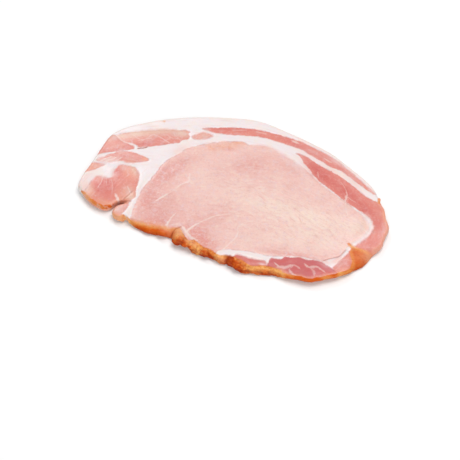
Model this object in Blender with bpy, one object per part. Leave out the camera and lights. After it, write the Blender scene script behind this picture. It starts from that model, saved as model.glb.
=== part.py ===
import math

import bmesh
import bpy
from mathutils import Vector, noise
from mathutils.geometry import delaunay_2d_cdt

# Sizes in millimetres. The long axis is X, the fat back faces +Y and the
# browned front edge -Y, the tail lies at -X. The underside is at Z 0.
MM = 0.001
THICK = 4.2           # cut thickness of the lean
EDGE_ROUND = 0.5      # rounding of the cut edges
STEP_BACK = 3.0       # spacing of edge points round the fat back
STEP_FRONT = 1.7      # spacing of edge points along the crusty front
STEP_TOP = 3.1        # spacing of points over the cut face
STEP_UNDER = 4.6      # spacing of points over the underside
CRUST_DEPTH = 0.55    # how far crags stand out of the browned edge
FAT_BULGE = 0.25      # how far the plain edge bellies out
SHAKE_SEED = 1795883505   # keeps the spread of the points alike on each run

# Edge of the cut face, clockwise from the tail: x, y, then how far the foot
# of the edge stands out from it in x and y.
EDGE = [
    (-82.5, -10.5, 0, 0), (-82, -4.5, 0, 0), (-80, 2, 0, 0), (-77.5, 12, 0, 0),
    (-75.5, 21, 0, 0), (-73, 28, 0, 0), (-66.5, 34.5, 0, 0), (-58, 39, 0, 0),
    (-49, 43, 0, 0), (-39.5, 46, 0, 0), (-25, 49, 0, 0), (-10, 51, 0, 0),
    (0, 51.5, 0, 0), (10, 50, 0, 0), (23, 45, 0, 0), (35, 40, 0, 0),
    (47, 34, 0, 0), (59, 25, 0, 0), (68, 17.5, 0, 0), (73.5, 11, 0, 0),
    (75.5, 5.5, 0, 0), (79, -0.5, 0, 0), (80, -6, 0, 0), (82.3, -11.5, 0, 0),
    (81, -17.5, 0, 0), (79.3, -24, 0, 0.5), (76, -27, 1, -0.5),
    # right front corner, where a browned slope runs down to the foot
    (69, -26.5, 6.5, -4), (65.5, -28.5, 8.5, -5), (64.7, -32.5, 7.5, -4),
    (65.4, -37, 3.5, -2), (65, -41, 1, 0), (61.5, -44.5, 0, 0.7),
    # thin part of the front edge, a little undercut
    (57.5, -47, 0, 1), (53.3, -48.7, 0, 1.2), (47.3, -51.3, 0, 1.3),
    (40, -50.7, 0, 0.7), (33, -49.5, 0.5, -0.5),
    # crusty flaps and the curled lump
    (27.5, -46, 0.5, -3.8), (21, -46, 0.5, -4.2), (16, -47, 0, -3.2),
    (11.3, -44.5, -0.5, -6), (5, -43, 0.5, -4.5), (-1, -43.5, 0, -2.7),
    (-5, -41.2, -0.5, -3), (-11, -39.5, -1.5, -3.5), (-14.5, -36.5, -2, -5),
    (-19.3, -32.3, -1, -5), (-24, -29.6, 0, -8.6), (-28.5, -30.2, 0, -4.2),
    # browned front edge at the left
    (-33, -30, 0.5, -3.5), (-39.5, -30.6, 0.5, -2.2), (-45, -28.8, 0, -2.7),
    (-50.3, -28.4, 1, -1.8), (-51.6, -29.2, 0, 0.2),
    # nick, small lobe and the cleft behind it
    (-53.6, -27.4, 0, 0), (-54.6, -29.4, 0, 0), (-57.5, -29.8, 0, 0),
    (-60.3, -27.2, 0, 0), (-60.8, -23.6, 0, 0), (-59.3, -20.5, 0, 0),
    (-56.3, -18.6, 0, 0), (-54, -16.9, 0, 0), (-57, -16.7, 0, 0),
    (-60, -17.9, 0, 0), (-62.4, -20.9, 0, 0), (-65.2, -22.4, 0, 0),
    (-69, -21.6, 0, 0), (-74.5, -18.6, 0, 0), (-80, -13.6, 0, 0),
]

# Swells and dips of the cut face: x, y, reach along x, reach along y,
# turn in degrees, height.
SWELLS = [
    (-66, -10, 13, 9, 20, 0.75),      # muscle lump of the tail
    (-58, -25, 4, 4, 0, 0.35),        # small lobe
    (-64, 12, 12, 5, 10, 0.4),        # middle muscle of the tail
    (-56, 30, 18, 6, 18, 0.35),       # upper muscle of the tail
    (5, 5, 46, 22, -8, 0.35),         # eye of the loin
    (-37, 4, 30, 2.6, 58, -0.45),     # fat seam between tail and eye
    (-72, 4, 5, 3, 10, -0.4),         # dip above the lump
    (40, 22, 30, 3, -38, -0.25),      # seam along the right of the eye
    (18, -42, 34, 2.2, -4, -0.3),     # seam under the eye
    (70, -29, 9, 7, 30, -0.5),        # fall towards the browned corner
    (48, -46, 12, 4, -8, 0.25),       # belly muscle
    (-24, -33, 4, 4, 0, 0.9),         # curled lump of the edge
    (9, -46, 4, 3, 0, 0.5),           # folded flap
]

# Where the rasher stands a little off the board: x, y, reach, height.
LIFTS = [
    (-88, 4, 22, 1.3), (-30, 62, 24, 0.8), (34, 60, 22, 0.5),
    (88, -4, 20, 1.1), (-62, -32, 9, 0.5),
]


def clearScene():
    for old in list(bpy.data.objects):
        bpy.data.objects.remove(old, do_unlink=True)


def smooth(low, high, value):
    t = min(1.0, max(0.0, (value - low) / (high - low)))
    return t * t * (3 - 2 * t)


def catmull(p0, p1, p2, p3, t):
    return [0.5 * (2 * b + (c - a) * t + (2 * a - 5 * b + 4 * c - d) * t * t
                   + (3 * b - a - 3 * c + d) * t ** 3)
            for a, b, c, d in zip(p0, p1, p2, p3)]


# Edge of the face and its foot, as two lists of flat points.
def edgePoints():
    face, foot = [], []
    count = len(EDGE)
    for i in range(count):
        rows = [EDGE[(i + k - 1) % count] for k in range(4)]
        a, b = Vector(rows[1][:2]), Vector(rows[2][:2])
        step = STEP_FRONT if min(a.y, b.y) < -15.5 else STEP_BACK
        parts = max(1, round((b - a).length / step))
        for k in range(parts):
            x, y, dx, dy = catmull(*rows, k / parts)
            face.append(Vector((x, y)))
            foot.append(Vector((x + dx, y + dy)))
    return face, foot


# Unit vectors pointing away from the meat, for a clockwise ring.
def outwards(points):
    count = len(points)
    normals = []
    for i in range(count):
        along = (points[(i + 1) % count] - points[i - 1]).normalized()
        normals.append(Vector((-along.y, along.x)))
    return normals


# 1 on the browned front edge, 0 on the fat and the tail.
def crustiness(point):
    return smooth(-18, -25, point.y) * smooth(-55, -49, point.x)


def lift(x, y):
    total = 0.0
    for cx, cy, reach, height in LIFTS:
        d = math.hypot(x - cx, y - cy) / reach
        total += height * smooth(1.0, 0.0, d)
    return total


def faceHeight(x, y):
    z = THICK
    for cx, cy, rx, ry, turn, height in SWELLS:
        a = math.radians(turn)
        u = ((x - cx) * math.cos(a) + (y - cy) * math.sin(a)) / rx
        v = (-(x - cx) * math.sin(a) + (y - cy) * math.cos(a)) / ry
        z += height * math.exp(-(u * u + v * v))
    z += 0.16 * noise.noise(Vector((x * 0.11, y * 0.11, 2.7)))
    return z + lift(x, y)


# Rings of points from the cut face round the edge to the underside.
def rimRings(face, foot):
    normals = outwards(face)
    feetNormals = outwards(foot)
    rings = [[] for _ in range(6)]
    for p, q, n, m in zip(face, foot, normals, feetNormals):
        crust = crustiness(p)
        top = faceHeight(p.x, p.y)
        low = lift(p.x, p.y)
        run = (q - p).length
        rings[0].append(Vector((*(p - n * EDGE_ROUND), top)))
        rings[1].append(Vector((*p, top - 0.4)))
        for k, t in ((2, 0.36), (3, 0.7)):
            base = p.lerp(q, t)
            crag = noise.noise(Vector((base.x * 0.42, base.y * 0.42, 3.1 * k)))
            push = FAT_BULGE + crust * (0.35 + CRUST_DEPTH * crag)
            base = base + n.lerp(m, t) * push
            z = low + (top - low) * (1 - t)
            z += crust * (0.11 * run + 0.5 * noise.noise(Vector((base.x * 0.3, k, 8.0))))
            z = min(top - 0.3 - 0.35 * (k - 2), max(low + 0.5 + 0.5 * (3 - k), z))
            rings[k].append(Vector((base.x, base.y, z)))
        rings[4].append(Vector((*q, low + 0.35)))
        rings[5].append(Vector((*(q - m * EDGE_ROUND), low)))
    return rings


def insideRing(point, ring):
    inside = False
    for i in range(len(ring)):
        a, b = ring[i - 1], ring[i]
        if (a.y > point.y) != (b.y > point.y):
            if point.x < (b.x - a.x) * (point.y - a.y) / (b.y - a.y) + a.x:
                inside = not inside
    return inside


# Fills a ring with evenly spread points; returns the points and triangles.
def sheet(ring, step, height):
    flat = [Vector((p.x, p.y)) for p in ring]
    count = len(flat)
    spots = list(flat)
    row = 0
    y = min(p.y for p in flat)
    top = max(p.y for p in flat)
    left, right = min(p.x for p in flat), max(p.x for p in flat)
    while y < top:
        x = left + (step / 2 if row % 2 else 0)
        while x < right:
            shake = noise.noise_vector(Vector((x * 0.9, y * 0.9, 5.5))) * step * 0.2
            spot = Vector((x + shake.x, y + shake.y))
            if insideRing(spot, flat):
                near = min((spot - p).length_squared for p in flat)
                if near > (step * 0.55) ** 2:
                    spots.append(spot)
            x += step
        y += step * 0.866
        row += 1
    edges = [(i, (i + 1) % count) for i in range(count)]
    made = delaunay_2d_cdt(spots, edges, [], 0, 1e-5, True)
    points = []
    for spot, source in zip(made[0], made[3]):
        if source and source[0] < count:
            points.append((source[0], ring[source[0]]))
        else:
            points.append((-1, Vector((spot.x, spot.y, height(spot.x, spot.y)))))
    triangles = []
    for triangle in made[2]:
        middle = sum((made[0][i] for i in triangle), Vector((0, 0))) / 3
        if insideRing(middle, flat):
            triangles.append(triangle)
    return points, triangles


def makeRasher():
    face, foot = edgePoints()
    rings = rimRings(face, foot)
    bm = bmesh.new()
    rows = [[bm.verts.new(p * MM) for p in ring] for ring in rings]
    count = len(face)
    for upper, lower in zip(rows, rows[1:]):
        for i in range(count):
            j = (i + 1) % count
            bm.faces.new((upper[i], upper[j], lower[j]))
            bm.faces.new((upper[i], lower[j], lower[i]))
    for row, ring, step, height in ((rows[0], rings[0], STEP_TOP, faceHeight),
                                    (rows[-1], rings[-1], STEP_UNDER, lift)):
        points, triangles = sheet(ring, step, height)
        verts = [row[i] if i >= 0 else bm.verts.new(p * MM) for i, p in points]
        for triangle in triangles:
            bm.faces.new([verts[i] for i in triangle])
    bmesh.ops.recalc_face_normals(bm, faces=bm.faces)
    if bm.calc_volume(signed=True) < 0:
        bmesh.ops.reverse_faces(bm, faces=bm.faces)

    low = [min(v.co[k] for v in bm.verts) for k in range(3)]
    high = [max(v.co[k] for v in bm.verts) for k in range(3)]
    move = Vector((-(low[0] + high[0]) / 2, -(low[1] + high[1]) / 2, -low[2]))
    bmesh.ops.translate(bm, verts=bm.verts, vec=move)

    mesh = bpy.data.meshes.new("rasher")
    bm.to_mesh(mesh)
    bm.free()
    rasher = bpy.data.objects.new("rasher", mesh)
    bpy.context.scene.collection.objects.link(rasher)
    return rasher


def meatMaterial():
    meat = bpy.data.materials.new("meat")
    meat.use_nodes = True
    shader = meat.node_tree.nodes["Principled BSDF"]
    shader.inputs["Base Color"].default_value = (0.75, 0.33, 0.28, 1)
    shader.inputs["Roughness"].default_value = 0.45
    return meat


clearScene()
noise.seed_set(SHAKE_SEED)
rasher = makeRasher()
rasher.data.materials.append(meatMaterial())
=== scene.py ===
import math

import bpy
import numpy as np
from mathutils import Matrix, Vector, kdtree, noise


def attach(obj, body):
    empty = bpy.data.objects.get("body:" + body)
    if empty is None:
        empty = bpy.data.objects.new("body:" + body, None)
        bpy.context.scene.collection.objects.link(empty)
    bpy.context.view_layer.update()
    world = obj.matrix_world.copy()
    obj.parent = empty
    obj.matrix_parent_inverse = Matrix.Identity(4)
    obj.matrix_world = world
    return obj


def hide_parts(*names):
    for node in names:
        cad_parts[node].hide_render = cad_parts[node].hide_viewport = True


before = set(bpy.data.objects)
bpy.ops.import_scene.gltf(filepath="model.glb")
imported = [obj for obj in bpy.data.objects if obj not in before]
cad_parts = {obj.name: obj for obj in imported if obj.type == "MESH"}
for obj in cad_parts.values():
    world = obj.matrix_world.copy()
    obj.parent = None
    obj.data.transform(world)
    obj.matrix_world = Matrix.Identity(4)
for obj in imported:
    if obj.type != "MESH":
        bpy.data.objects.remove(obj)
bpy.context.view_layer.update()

mm = 0.001
print("frame loaded")

# Camera, at the angle that the rasher is seen from. Lengths in millimetres.
camera = {
    "target": (1.87, -26.92, 4.0),
    "elevation": 52.0,
    "azimuth": 9.5,
    "distance": 658.0,
    "lens": 100.0,
    "sensor": 36.0,
    "clipStart": 10.0,
}


def aimAt(piece, target):
    direction = Vector(target) - piece.location
    piece.rotation_euler = direction.to_track_quat("-Z", "Y").to_euler()


def setCamera():
    up, around = math.radians(camera["elevation"]), math.radians(camera["azimuth"])
    away = Vector((math.sin(around) * math.cos(up), -math.cos(around) * math.cos(up), math.sin(up)))
    target = Vector(camera["target"]) * mm
    data = bpy.data.cameras.new("camera")
    data.lens = camera["lens"]
    data.sensor_width = camera["sensor"]
    data.clip_start = camera["clipStart"] * mm
    body = bpy.data.objects.new("camera", data)
    bpy.context.scene.collection.objects.link(body)
    body.location = target + away * camera["distance"] * mm
    aimAt(body, target)
    bpy.context.scene.camera = body


# Soft boxes round the rasher: place and size in metres, power in watts.
studio = {
    "floorColour": (0.9, 0.9, 0.9),
    "floorRoughness": 0.7,
    "floorSize": 6,
    "floorDrop": 0.0002,
    "skyColour": (1.0, 1.0, 1.0),
    "skyStrength": 0.42,
    "boxes": {
        "overheadBox": {"place": (0.22, 0.30, 0.90), "size": 0.6, "power": 5.4},
        "frontBox": {"place": (0.15, -0.95, 0.50), "size": 0.8, "power": 5.0},
        "backBox": {"place": (-0.40, 0.70, 0.75), "size": 0.3, "power": 2.2},
    },
}


def setStudio():
    scene = bpy.context.scene
    scene.view_settings.view_transform = "Standard"
    sky = bpy.data.worlds.new("paleSky")
    sky.use_nodes = True
    backdrop = sky.node_tree.nodes["Background"]
    backdrop.inputs["Color"].default_value = (*studio["skyColour"], 1)
    backdrop.inputs["Strength"].default_value = studio["skyStrength"]
    scene.world = sky
    for name, box in studio["boxes"].items():
        lamp = bpy.data.lights.new(name, "AREA")
        lamp.size = box["size"]
        lamp.energy = box["power"]
        body = bpy.data.objects.new(name, lamp)
        scene.collection.objects.link(body)
        body.location = box["place"]
        aimAt(body, (0, 0, 0))
    bpy.ops.object.select_all(action="DESELECT")
    bpy.ops.mesh.primitive_plane_add(size=studio["floorSize"], location=(0, 0, -studio["floorDrop"]))
    floor = bpy.context.object
    floor.name = "floor"
    paint = bpy.data.materials.new("palePaper")
    paint.use_nodes = True
    shader = paint.node_tree.nodes["Principled BSDF"]
    shader.inputs["Base Color"].default_value = (*studio["floorColour"], 1)
    shader.inputs["Roughness"].default_value = studio["floorRoughness"]
    floor.data.materials.append(paint)


setCamera()
setStudio()
print("camera and studio set")

# The rasher. Lengths in millimetres, in the plan of the cut face: x along the
# rasher from its tail to its broad end, y towards the fat back.
rasher = {
    "planShift": (0.12, -0.13),   # from the plan to the frame
    "mergeGap": 0.01,
    "voxel": 0.58,
    "smoothFactor": 0.5,
    "smoothing": 4,
    "calming": 40,         # rounds of smoothing of the cut face alone
    "calmTilt": (0.75, 0.95),   # where the face looks up by this much
    "calmFrom": (1.5, 4),       # and this far from the rim
    "sideTilt": 0.55,      # the cut sides lean over more than this
    "finerReach": 2,       # width of the rim that gets finer faces
    "finerFront": -18,     # the y from which it does
    "finerTilt": -0.3,     # and how far it goes underneath
    "fatProud": 0.10,      # how far fat stands above lean
    "seamDip": 0.16,       # how deep the line between them is
    "veinProud": 0.07,
    "fibreRelief": 0.07,
    "slackRelief": 0.16,   # broad unevenness of a soft cut face
    "cragRelief": 0.36,    # lumps of the browned edge
    "creaseDepth": 0.45,
    "sideRelief": 0.16,    # unevenness of the cut sides
}

# Lobes, curls and flakes of the browned edge: place, half sizes, turn about Z, tilt.
edgeLumps = [
    ((-23.4, -34.6, 3), (3.3, 5, 2.2), 14, 26),
    ((-24.4, -37.4, 2.2), (2.6, 2, 1.8), -10, 10),
    ((-20.2, -38, 2.4), (2.6, 2, 1.8), -30, 10),
    ((-32.6, -32.6, 2.5), (2.8, 2, 1.5), 0, 14),
    ((-16.4, -39.6, 3), (2, 1.7, 1.5), -25, 10),
    ((-12.4, -41.2, 3), (1.5, 1.4, 1.2), 10, 8),
    ((-8.6, -42.6, 2.3), (2.6, 1.5, 1.5), -20, 10),
    ((-1.2, -44.2, 3.1), (2, 1.3, 1.1), -5, 12),
    ((5.6, -45.2, 3.2), (1.9, 2.8, 1.5), -8, 14),
    ((9.6, -47.6, 2.2), (3.2, 2.4, 1.7), -8, 14),
    ((20.6, -48, 2.6), (5.2, 1.4, 1.2), 2, 8),
    ((75.7, 5.6, 3.4), (0.9, 1.9, 0.9), -6, -16),
]

# Small pulls on the outline: x, y, reach in x, reach in y, move in x, move in y, and
# the height above which the pull fades out.
pulls = [
    (-56.5, -30.5, 6.5, 5, 0.5, 1.9, 9),
    (-39, -33, 11, 5, -0.15, -0.9, 3),
]

# Where the cut face is filled up: x, y, reach in x, reach in y, turn, height.
fillings = [
    (-37, 4, 30, 2.6, 58, 0.42),
]

# Muscles of the cut face, each one closed line. depth is how dark the meat is, and
# grain the angle of its fibres, "band" where they follow the back, or "sweep" where
# they bend down towards the broad end.
muscles = {
    "eye": {"depth": 0, "grain": "sweep", "line": [
        (-50.5, -22.5), (-49.9, -17.4), (-48.9, -11.3), (-48.1, -6.6), (-45.3, 0.2), (-42.7, 7.3),
        (-40.3, 13.2), (-35.8, 17.9), (-32.2, 22.6), (-29.2, 25.5), (-24.9, 27.6), (-20, 29.9),
        (-14.9, 31.8), (-7.7, 33.5), (-1.4, 34.3), (2.5, 32.6), (8.5, 33.8), (14.5, 32.7), (19.9, 29.8),
        (26.3, 26.2), (32, 22), (37.8, 17.2), (42.6, 12.6), (48, 8.4), (53.6, 4.6), (58.8, 1),
        (64.6, -3.4), (69.4, -7.5), (71.4, -10.4), (72.1, -13.8), (71.5, -17.1), (68.6, -21.6),
        (64.9, -24.9), (62.9, -27.6), (61.5, -31), (59.4, -33.9), (57, -35.7), (53.9, -37.2),
        (50.8, -38.3), (45.4, -38.1), (37.5, -37.7), (29.9, -39.2), (22.7, -39.9), (14.2, -38.8),
        (4.3, -39.2), (0.4, -39.6), (-3.1, -42.6), (-4, -54), (-14, -52), (-26, -48), (-38, -42),
        (-48, -38), (-50, -32), (-50.4, -27),
    ]},
    "backStrip": {"depth": 0.62, "grain": "band", "line": [
        (-24.7, 40.5), (-19, 41.9), (-11.8, 43.3), (-4.4, 44.3), (3, 44.5), (10.4, 43.8), (18, 42.6),
        (26.9, 40.3), (35.7, 37.2), (46.9, 31.6), (53.8, 27), (62.1, 19.6), (68.2, 14.3), (73.4, 9.4),
        (71.5, 9.3), (65.9, 13.4), (60.2, 17.5), (53.6, 22.1), (48.6, 23.8), (42.3, 27.5), (36.4, 30.6),
        (30.3, 34.2), (21.7, 36.4), (13.8, 38.3), (6.3, 39.2), (-1, 38.9), (-9.3, 38.2), (-17.2, 38.2),
        (-21.4, 39),
    ]},
    "island": {"depth": 0.38, "grain": 10, "line": [
        (-29.3, 33.5), (-26.8, 35.9), (-23.2, 37.9), (-17.8, 35.8), (-22.2, 32.7), (-27, 31.6),
    ]},
    "tailTop": {"depth": 0.48, "grain": 14, "line": [
        (-69.3, 26.3), (-68.1, 29.2), (-62.8, 31.1), (-54.3, 33.8), (-45.8, 36), (-40, 36.9),
        (-36.8, 36.7), (-33.4, 37.5), (-31.2, 36.7), (-31.6, 35.3), (-30.7, 33), (-31.1, 30.9),
        (-34.4, 29.8), (-35.5, 27.8), (-40.2, 26.3), (-44, 24.8), (-48, 23.4), (-53, 21.9),
        (-56.4, 20.9), (-57.4, 21.9), (-59.4, 22.9), (-61.8, 23.4), (-64.6, 23.2),
    ]},
    "tailCorner": {"depth": 0.5, "grain": 20, "line": [
        (-77.8, 12.3), (-75.5, 20.7), (-73.3, 26.7), (-70.6, 27.8), (-68.5, 25.6), (-64.6, 23.3),
        (-61.8, 22.3), (-59.6, 21.6), (-58.6, 20.4), (-60, 18.5), (-68.4, 15.9), (-74, 13.8),
    ]},
    "tailMiddle": {"depth": 0.42, "grain": 8, "line": [
        (-76.7, 8.3), (-72.8, 11.7), (-68.6, 14.8), (-64.7, 16.8), (-59.9, 17.1), (-55.3, 15.8),
        (-51.1, 14.5), (-49.2, 12.8), (-51.9, 11.1), (-56.4, 9.5), (-60.7, 9.2), (-63.8, 9.6),
        (-67, 8.6), (-70.4, 7.8), (-74.6, 7.4),
    ]},
    "tailSmall": {"depth": 0.36, "grain": 20, "line": [
        (-84.5, -3), (-82.5, 5), (-75.7, 6.1), (-71.4, 6.3), (-74.9, 2.6), (-78.4, -0.2),
    ]},
    "tailLump": {"depth": 0.66, "grain": 65, "line": [
        (-79.6, -18.5), (-78.4, -14), (-77, -10.6), (-76, -6.6), (-74.4, -3.2), (-71.6, -2.4),
        (-69.2, -2.9), (-66.8, -2.2), (-66, 2.6), (-64, 6.8), (-60.6, 7.4), (-56.3, 7), (-52.6, 3.3),
        (-51.5, -1.9), (-51.7, -8.8), (-50.8, -13.1), (-53, -16), (-53.6, -18.4), (-54, -22),
        (-60, -28), (-70, -28),
    ]},
    "lobe": {"depth": 0.34, "grain": 70, "line": [
        (-53.9, -17.9), (-53.1, -19.8), (-54.4, -23.6), (-55.6, -27.1), (-56, -33), (-62, -33),
        (-64, -24), (-60.4, -18.6), (-56.1, -16.8),
    ]},
    "wrap": {"depth": 0.72, "grain": "band", "line": [
        (28.2, 30.9), (31.2, 30.4), (34.6, 29.2), (39, 26.3), (44, 23.3), (51.2, 19.6), (57.8, 15.5),
        (63.1, 11.4), (69.1, 6.7), (76, 4), (84, 2), (88, -6), (88, -18), (84, -28), (76, -33),
        (66.5, -27.4), (67.2, -25.2), (70.4, -21.3), (73.1, -17.5), (74.3, -13.6), (73.4, -10),
        (71.3, -7.2), (68.3, -4.8), (64.2, -2.2), (59.7, 0.8), (56.8, 2.6), (52.5, 6.2), (47.5, 10.1),
        (42.5, 13.9), (38.9, 17.8), (35.8, 21.8), (33.2, 24.6), (31.8, 27.6), (30, 29.6),
    ]},
    "bellyLeft": {"depth": 0.85, "grain": 0, "line": [
        (6, -43), (10.4, -42), (15.5, -43), (20.5, -43.2), (23.4, -45), (24, -56), (4, -58),
    ]},
    "bellyRight": {"depth": 1, "grain": 4, "line": [
        (24.6, -42.4), (28.1, -41.1), (30.4, -40.7), (32.6, -39.4), (37.2, -38.8), (38.6, -38.2),
        (41.2, -38.8), (44.3, -39.4), (48.6, -39), (51.8, -40.2), (55.3, -42.2), (58.5, -43.6),
        (63, -46), (60, -56), (26, -56),
    ]},
    "corner": {"depth": 0.6, "grain": 30, "line": [
        (57, -42.9), (57.9, -40.1), (59.7, -37), (61.7, -34), (63.6, -31), (64.9, -29.4), (78, -30),
        (72, -44), (62, -48),
    ]},
}

# White lines in the lean: half width, strength, then the points of the line.
veins = [
    # the eye
    (0.45, 0.85, [(-39.5, -14), (-36.5, -10.8), (-34.5, -8.6)]),
    (0.24, 0.4, [(-34.5, -8.6), (-32.5, -6.5), (-31, -4)]),
    (0.4, 0.65, [(-31, -4), (-28, -0.5), (-25, 1.5), (-25.3, 4)]),
    (0.34, 0.6, [(-25.3, 4), (-25.4, 6.5)]),
    (0.26, 0.5, [(-25, 1.5), (-22.5, 0.2)]),
    (0.24, 0.3, [(-39.5, -4), (-38, -1)]),
    (0.24, 0.25, [(-22, 1), (-20.5, 3.5), (-20, 6)]),
    (0.5, 0.9, [(-19.2, -30.2), (-17.6, -28), (-16, -26.2)]),
    (0.32, 0.6, [(-16, -26.2), (-12.5, -23), (-8, -19.5), (-5, -18)]),
    (0.3, 0.25, [(-5, -18), (0, -16.5), (4, -13.5)]),
    (0.55, 0.8, [(-30.2, -36.5), (-30.2, -31), (-31, -29), (-30.4, -26.8)]),
    (0.34, 0.7, [(-30.4, -26.8), (-29.5, -23.5), (-28.3, -21.3)]),
    (0.36, 0.6, [(-2, -42), (0.5, -39.5), (3, -35.5), (5.5, -31), (6, -27.5)]),
    (0.26, 0.35, [(6, -27.5), (5.5, -24.5), (8.5, -21), (13, -19)]),
    (0.66, 0.8, [(-22.2, -29.6), (-20.2, -31.9), (-18, -34.2), (-15.6, -35.7), (-14.4, -36.2)]),
    # the tail
    (0.24, 0.4, [(-56.1, 25.2), (-53.3, 27.9), (-51.6, 30.4), (-50.1, 31.5)]),
    (0.26, 0.5, [(-52, 29.9), (-49.5, 31.1), (-46.5, 30.1), (-43.4, 28.4), (-40.9, 27)]),
    (0.22, 0.35, [(-60.7, 28.8), (-58.1, 27), (-55.8, 26.7), (-51.7, 28.1)]),
    (0.22, 0.3, [(-42.4, 31.9), (-39.3, 30.2), (-35.5, 30.5)]),
    (0.24, 0.25, [(-39.6, 34.4), (-38.7, 32.7), (-36.4, 31), (-35, 29.4)]),
    (0.34, 0.55, [(-69.6, 27.2), (-67.4, 25), (-64.8, 23.4), (-62, 22.9)]),
    (0.4, 0.8, [(-74.8, 7.4), (-72, 9.7), (-69.1, 11.6)]),
    (0.4, 0.8, [(-71.6, 7.9), (-69.2, 9.4), (-66.9, 11.3)]),
    (0.35, 0.6, [(-68.4, 8.5), (-65.9, 9.6), (-64.2, 11.7)]),
    (0.26, 0.4, [(-70.6, -4), (-70.8, -7.5), (-71.6, -10.5)]),
    (0.22, 0.25, [(-68.8, -3.6), (-67.5, -8)]),
    (0.26, 0.3, [(-66, -4), (-64, -9), (-63.6, -13)]),
    (0.62, 0.8, [(-61.2, -14.3), (-60.3, -15.6), (-59.4, -16.9)]),
    (0.3, 0.5, [(-56, -8), (-54.2, -11.2)]),
    # the muscle that wraps round the broad end, and the strip along the back
    (0.22, 0.28, [(54.5, 14.4), (56.6, 11.6), (58.2, 8.2)]),
    (0.36, 0.5, [(58.2, 8.2), (58.7, 6)]),
    (0.7, 0.6, [(58.7, 6), (58.4, 4), (58.2, 1.8)]),
    (0.22, 0.35, [(59.2, 5.2), (61, 3.4), (63, 2.4)]),
    (0.26, 0.4, [(58.6, 3.2), (56.4, 1.8)]),
    (0.26, 0.35, [(58.4, 1.2), (59, -3), (60.2, -7)]),
    (0.24, 0.35, [(41.5, 19.6), (42.2, 16.4)]),
    (0.55, 0.7, [(25.5, 39.2), (28, 38.4)]),
    (0.34, 0.5, [(44, 29.4), (47, 27.6)]),
    (0.34, 0.4, [(5, 42.6), (10, 42.2)]),
    (0.3, 0.35, [(-8, 41.8), (-2, 42.8)]),
    # the belly
    (0.32, 0.55, [(27.9, -44.2), (29.3, -45.3), (30.5, -46.2)]),
    (0.9, 0.5, [(29.6, -45.9), (32.3, -46), (34, -45.2), (36.6, -43.9)]),
    (0.42, 0.38, [(36.6, -43.6), (38.4, -43.9), (39.9, -45)]),
    (0.5, 0.5, [(35.7, -47.4), (36.5, -48.6), (37.5, -49.4), (38.6, -49.9)]),
    (0.5, 0.5, [(43, -42.6), (44.1, -43.6), (45.4, -43.8), (47.2, -43.1), (49.1, -43.1)]),
    (0.4, 0.45, [(49.1, -43.1), (50.7, -44.1), (52.6, -45.3)]),
    (0.6, 0.35, [(45.4, -43.9), (46.5, -44.8), (47.6, -46.2), (48, -47.7)]),
]

# Creases and folds, carved into the surface and darkened with painted shade: half width, strength, then
# the points of the line.
creases = [
    (0.38, 0.6, [(-23.4, -29.3), (-25.8, -30.5), (-27.2, -32.4)]),
    (0.45, 0.8, [(-27.2, -32.4), (-27.9, -34.4), (-27.8, -36.8), (-26.7, -39.4), (-24.8, -41.1)]),
    (0.26, 0.3, [(-23.4, -29.7), (-21.2, -32.9), (-19.6, -36.1)]),
    (0.3, 0.5, [(50.9, -39), (52.7, -37.9), (54, -36.9), (56.8, -35.6), (58.7, -34.8),
                 (60, -33.5), (61, -31.4), (62.1, -29.6)]),
    (0.34, 1.3, [(-56.6, 20.1), (-54.9, 20.7), (-53.7, 21), (-52.2, 21.8)]),
    (0.4, 0.5, [(-61.3, -20.5), (-59.6, -18.5), (-57.4, -16.8), (-54.2, -16.6), (-52.6, -16.7)]),
    (0.34, 0.6, [(-56.8, -17), (-56.2, -15), (-55.2, -13.4), (-54.1, -11.4), (-53.4, -10.2)]),
    (0.45, 0.7, [(4.5, -43), (3.2, -44.5), (3, -46.7), (4.6, -49.7)]),
    (0.35, 0.3, [(-18.7, -40.7), (-15.2, -42.7), (-11.2, -44.6), (-6.9, -45.8)]),
    (0.3, 0.2, [(-7.7, -41.5), (-5.2, -43.6), (-1.8, -45.6), (1, -47.1)]),
    (0.26, 0.3, [(10.1, -46.2), (14, -48.1), (18.7, -48.6)]),
    (0.24, 0.3, [(65, -28), (66.7, -30.3), (70, -32.3)]),
]

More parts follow.
